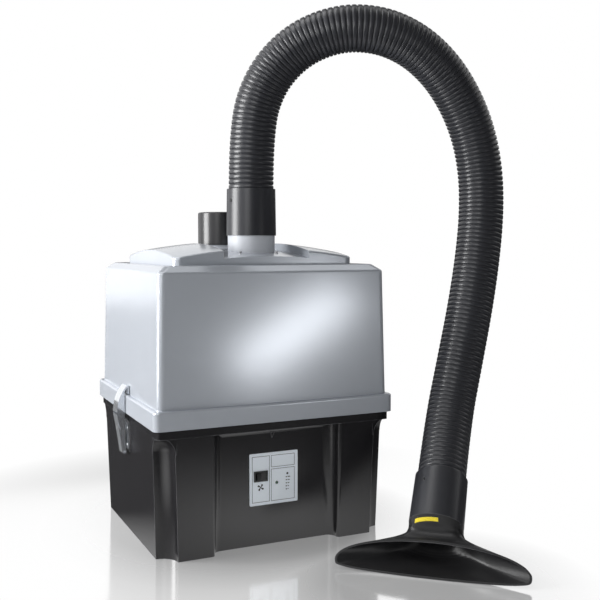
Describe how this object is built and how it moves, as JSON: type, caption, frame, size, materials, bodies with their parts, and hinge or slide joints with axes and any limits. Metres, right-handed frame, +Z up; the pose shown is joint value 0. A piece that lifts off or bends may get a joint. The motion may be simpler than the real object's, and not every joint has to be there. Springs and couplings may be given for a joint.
{
  "type": "bench fume extractor",
  "caption": "Box-shaped bench fume extractor with a latched grey hood over a filter, a turbine base, and a ribbed suction hose ending in a flat funnel nozzle.",
  "frame": {"origin": "middle of the tub's flat underside, on the bench", "axes": "+Z up, -Y towards the control panel, +X to the right seen from the panel"},
  "size_m": [0.5486, 0.5954, 0.765],
  "materials": {
    "tub_black": "semi-gloss moulded black",
    "hood_grey": "semi-gloss moulded silver grey",
    "gloss_black": "glossy black",
    "matte_black": "satin black",
    "hose_charcoal": "satin charcoal",
    "plate_silver": "pale satin silver",
    "latch_steel": "bright plated steel",
    "screw_steel": "plated steel",
    "lens_green": "dark green lens, unlit",
    "strip_yellow": "plain yellow strip",
    "seal_rubber": "black soft rubber",
    "turbine_plastic": "satin dark grey",
    "motor_metal": "cast, satin",
    "sheet_metal": "grey coated sheet",
    "filter_white": "folded filter paper",
    "filter_carbon": "granular carbon",
    "filter_mat": "fibre mat",
    "board_green": "coated board",
    "contact_brass": "plated contact"
  },
  "bodies": {
    "base": {"base_shell": "tub_black", "control_plate": "plate_silver", "switch_frame": "gloss_black", "lamp_lens": "lens_green", "control_board": "board_green", "board_components": "matte_black", "board_screws": "screw_steel", "deck_plate": "sheet_metal", "deck_screws": "screw_steel", "turbine_mounts": "seal_rubber", "carrier_plate": "sheet_metal", "volute_shell": "turbine_plastic", "volute_lid": "turbine_plastic", "inlet_seal": "seal_rubber", "motor": "motor_metal", "motor_screws": "screw_steel", "filter_seal": "seal_rubber", "filter_frame": "sheet_metal", "carbon_bed": "filter_carbon", "pleated_filter": "filter_white", "prefilter_mat": "filter_mat", "mains_inlet": "matte_black", "inlet_pins": "contact_brass", "inlet_screws": "screw_steel", "exhaust_grille": "matte_black", "grille_screws": "screw_steel", "latch_bracket_right": "latch_steel", "latch_bracket_left": "latch_steel", "pivot_pins": "latch_steel", "bracket_rivets": "latch_steel"},
    "rotor": {"motor_shaft": "screw_steel", "shaft_nut": "screw_steel", "impeller": "turbine_plastic"},
    "switch_rocker": {"rocker": "gloss_black"},
    "lever_left": {"latch_lever_left": "latch_steel", "hook_pin_left": "latch_steel"},
    "lever_right": {"latch_lever_right": "latch_steel", "hook_pin_right": "latch_steel"},
    "hook_left": {"latch_hook_left": "latch_steel"},
    "hook_right": {"latch_hook_right": "latch_steel"},
    "hood": {"hood_shell": "hood_grey", "rim_gasket": "seal_rubber", "front_spigot": "hood_grey", "rear_spigot": "hood_grey", "spigot_screws": "screw_steel"},
    "cap": {"spigot_cap": "gloss_black"},
    "arm": {"upper_cuff": "hose_charcoal", "lower_cuff": "hose_charcoal", "hose_sleeves": "hose_charcoal", "hose": "hose_charcoal", "funnel": "matte_black", "funnel_strip": "strip_yellow"},
    "button_upper": {"upper_click_button": "gloss_black"},
    "button_lower": {"lower_click_button": "gloss_black"}
  },
  "joints": [
    {"name": "hood_lift", "type": "slide", "parent": "base", "child": "hood", "axis": [0, 0, 1], "range_m": [0, 0.24]},
    {"name": "latch_lever_left", "type": "hinge", "parent": "base", "child": "lever_left", "pos_m": [-0.186, 0, 0.173], "axis": [0, 1, 0], "range_deg": [0, 120]},
    {"name": "latch_lever_right", "type": "hinge", "parent": "base", "child": "lever_right", "pos_m": [0.186, 0, 0.173], "axis": [0, -1, 0], "range_deg": [0, 120]},
    {"name": "latch_hook_left", "type": "hinge", "parent": "lever_left", "child": "hook_left", "pos_m": [-0.18417, 0, 0.15811], "axis": [0, 1, 0], "range_deg": [-140, 0]},
    {"name": "latch_hook_right", "type": "hinge", "parent": "lever_right", "child": "hook_right", "pos_m": [0.18417, 0, 0.15811], "axis": [0, -1, 0], "range_deg": [-140, 0]},
    {"name": "rocker_switch", "type": "hinge", "parent": "base", "child": "switch_rocker", "pos_m": [-0.0203, -0.1383, 0.099], "axis": [0, 0, 1], "range_deg": [-14, 0]},
    {"name": "impeller_spin", "type": "hinge", "parent": "base", "child": "rotor", "pos_m": [0, 0, 0.1], "axis": [0, 0, 1], "continuous": true},
    {"name": "arm_swivel", "type": "hinge", "parent": "hood", "child": "arm", "pos_m": [0, -0.057, 0.45], "axis": [0, 0, 1], "range_deg": [-120, 45]},
    {"name": "cap_lift", "type": "slide", "parent": "hood", "child": "cap", "axis": [0, 0, 1], "range_m": [0, 0.06]},
    {"name": "click_button_upper", "type": "slide", "parent": "arm", "child": "button_upper", "axis": [0.9703, 0.2419, 0], "range_m": [0, 0.002], "stiffness_N_per_m": 800},
    {"name": "click_button_lower", "type": "slide", "parent": "arm", "child": "button_lower", "axis": [0.819, 0.1034, -0.5643], "range_m": [0, 0.002], "stiffness_N_per_m": 800}
  ],
  "couplings": [
    {"joint": "latch_hook_left", "follows": "latch_lever_left", "ratio": -1.15},
    {"joint": "latch_hook_right", "follows": "latch_lever_right", "ratio": -1.15}
  ]
}
